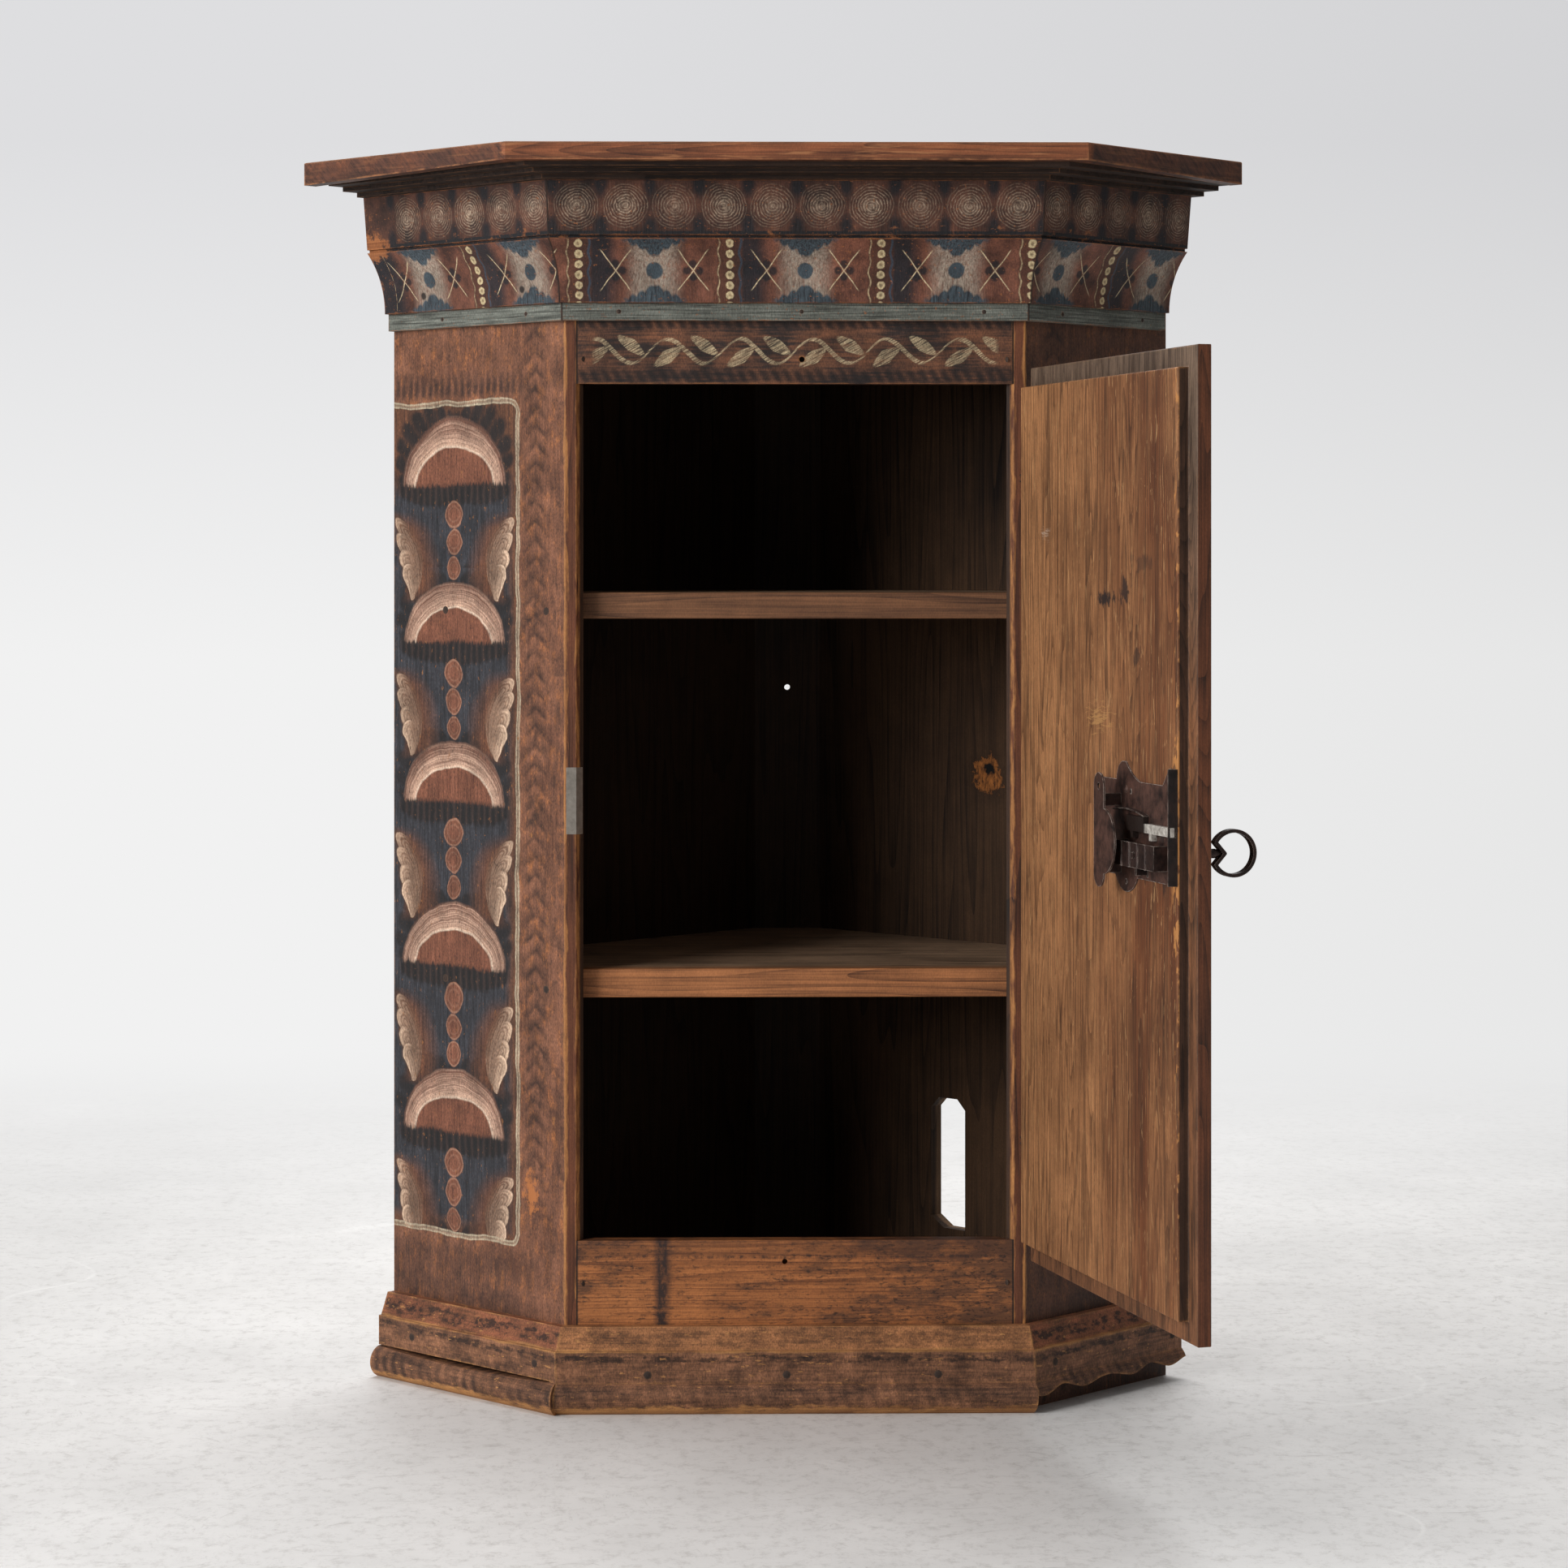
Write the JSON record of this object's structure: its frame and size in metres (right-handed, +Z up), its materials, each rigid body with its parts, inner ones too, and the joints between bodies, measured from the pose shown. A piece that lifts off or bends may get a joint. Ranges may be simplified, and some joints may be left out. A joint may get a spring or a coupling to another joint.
{
  "type": "corner cabinet",
  "caption": "Canted corner cabinet with overhanging top, moulded cornice and base, shelves, and a lipped door on staple hinges with an open iron lock and key.",
  "frame": {"origin": "on the floor, under the middle of the front rail", "axes": "+Z up, +X to the viewer's right as the front is faced, +Y to the room corner behind"},
  "size_m": [0.764, 0.8179, 1.0006],
  "materials": {
    "painted_pine": "worn distemper paint, matt",
    "bare_pine": "bare aged pine, satin",
    "aged_pine": "bare dark pine, matt",
    "forged_iron": "hand-forged iron with rust bloom",
    "worn_iron": "iron worn bright"
  },
  "bodies": {
    "carcass": {"back_nails": "forged_iron", "back_plank_left_inner": "aged_pine", "back_plank_left_outer": "aged_pine", "back_plank_right_inner": "aged_pine", "back_plank_right_outer": "aged_pine", "base_front": "painted_pine", "base_left_lower": "painted_pine", "base_left_upper": "painted_pine", "base_nails": "forged_iron", "base_right": "painted_pine", "bed_moulding_front": "painted_pine", "bed_moulding_left": "painted_pine", "bed_moulding_right": "painted_pine", "bottom_rail": "bare_pine", "cornice_front": "painted_pine", "cornice_left": "painted_pine", "cornice_nails": "forged_iron", "cornice_right": "painted_pine", "floor_board": "aged_pine", "frame_staple_lower": "forged_iron", "frame_staple_upper": "forged_iron", "front_nails": "forged_iron", "lintel_board": "painted_pine", "lower_shelf": "aged_pine", "rear_corner_board": "aged_pine", "shelf_nails": "forged_iron", "side_board_left": "painted_pine", "side_board_right": "painted_pine", "strike_plate": "worn_iron", "top_board": "painted_pine", "top_nails": "forged_iron", "upper_shelf": "aged_pine"},
    "door": {"door_leaf": "bare_pine", "door_staple_upper": "forged_iron", "door_staple_lower": "forged_iron", "lock_plate": "forged_iron", "lock_bridge": "forged_iron", "lock_strap": "forged_iron", "lock_spring": "forged_iron", "lock_nails": "forged_iron"},
    "key": {"key": "forged_iron"},
    "bolt": {"lock_bolt": "worn_iron"}
  },
  "joints": [
    {"name": "door_swing", "type": "hinge", "parent": "carcass", "child": "door", "pos_m": [0.1855, -0.0124, 0.4775], "axis": [0, 0, 1], "range_deg": [-105, 60]},
    {"name": "key_turn", "type": "hinge", "parent": "door", "child": "key", "pos_m": [0.25677, -0.29923, 0.4634], "axis": [-0.9659, -0.2588, 0], "range_deg": [0, 180]},
    {"name": "bolt_slide", "type": "slide", "parent": "door", "child": "bolt", "axis": [0.2588, -0.9659, 0], "range_m": [0, 0.008]}
  ],
  "couplings": [
    {"joint": "bolt_slide", "follows": "key_turn", "m_per_rad": 0.002546}
  ]
}
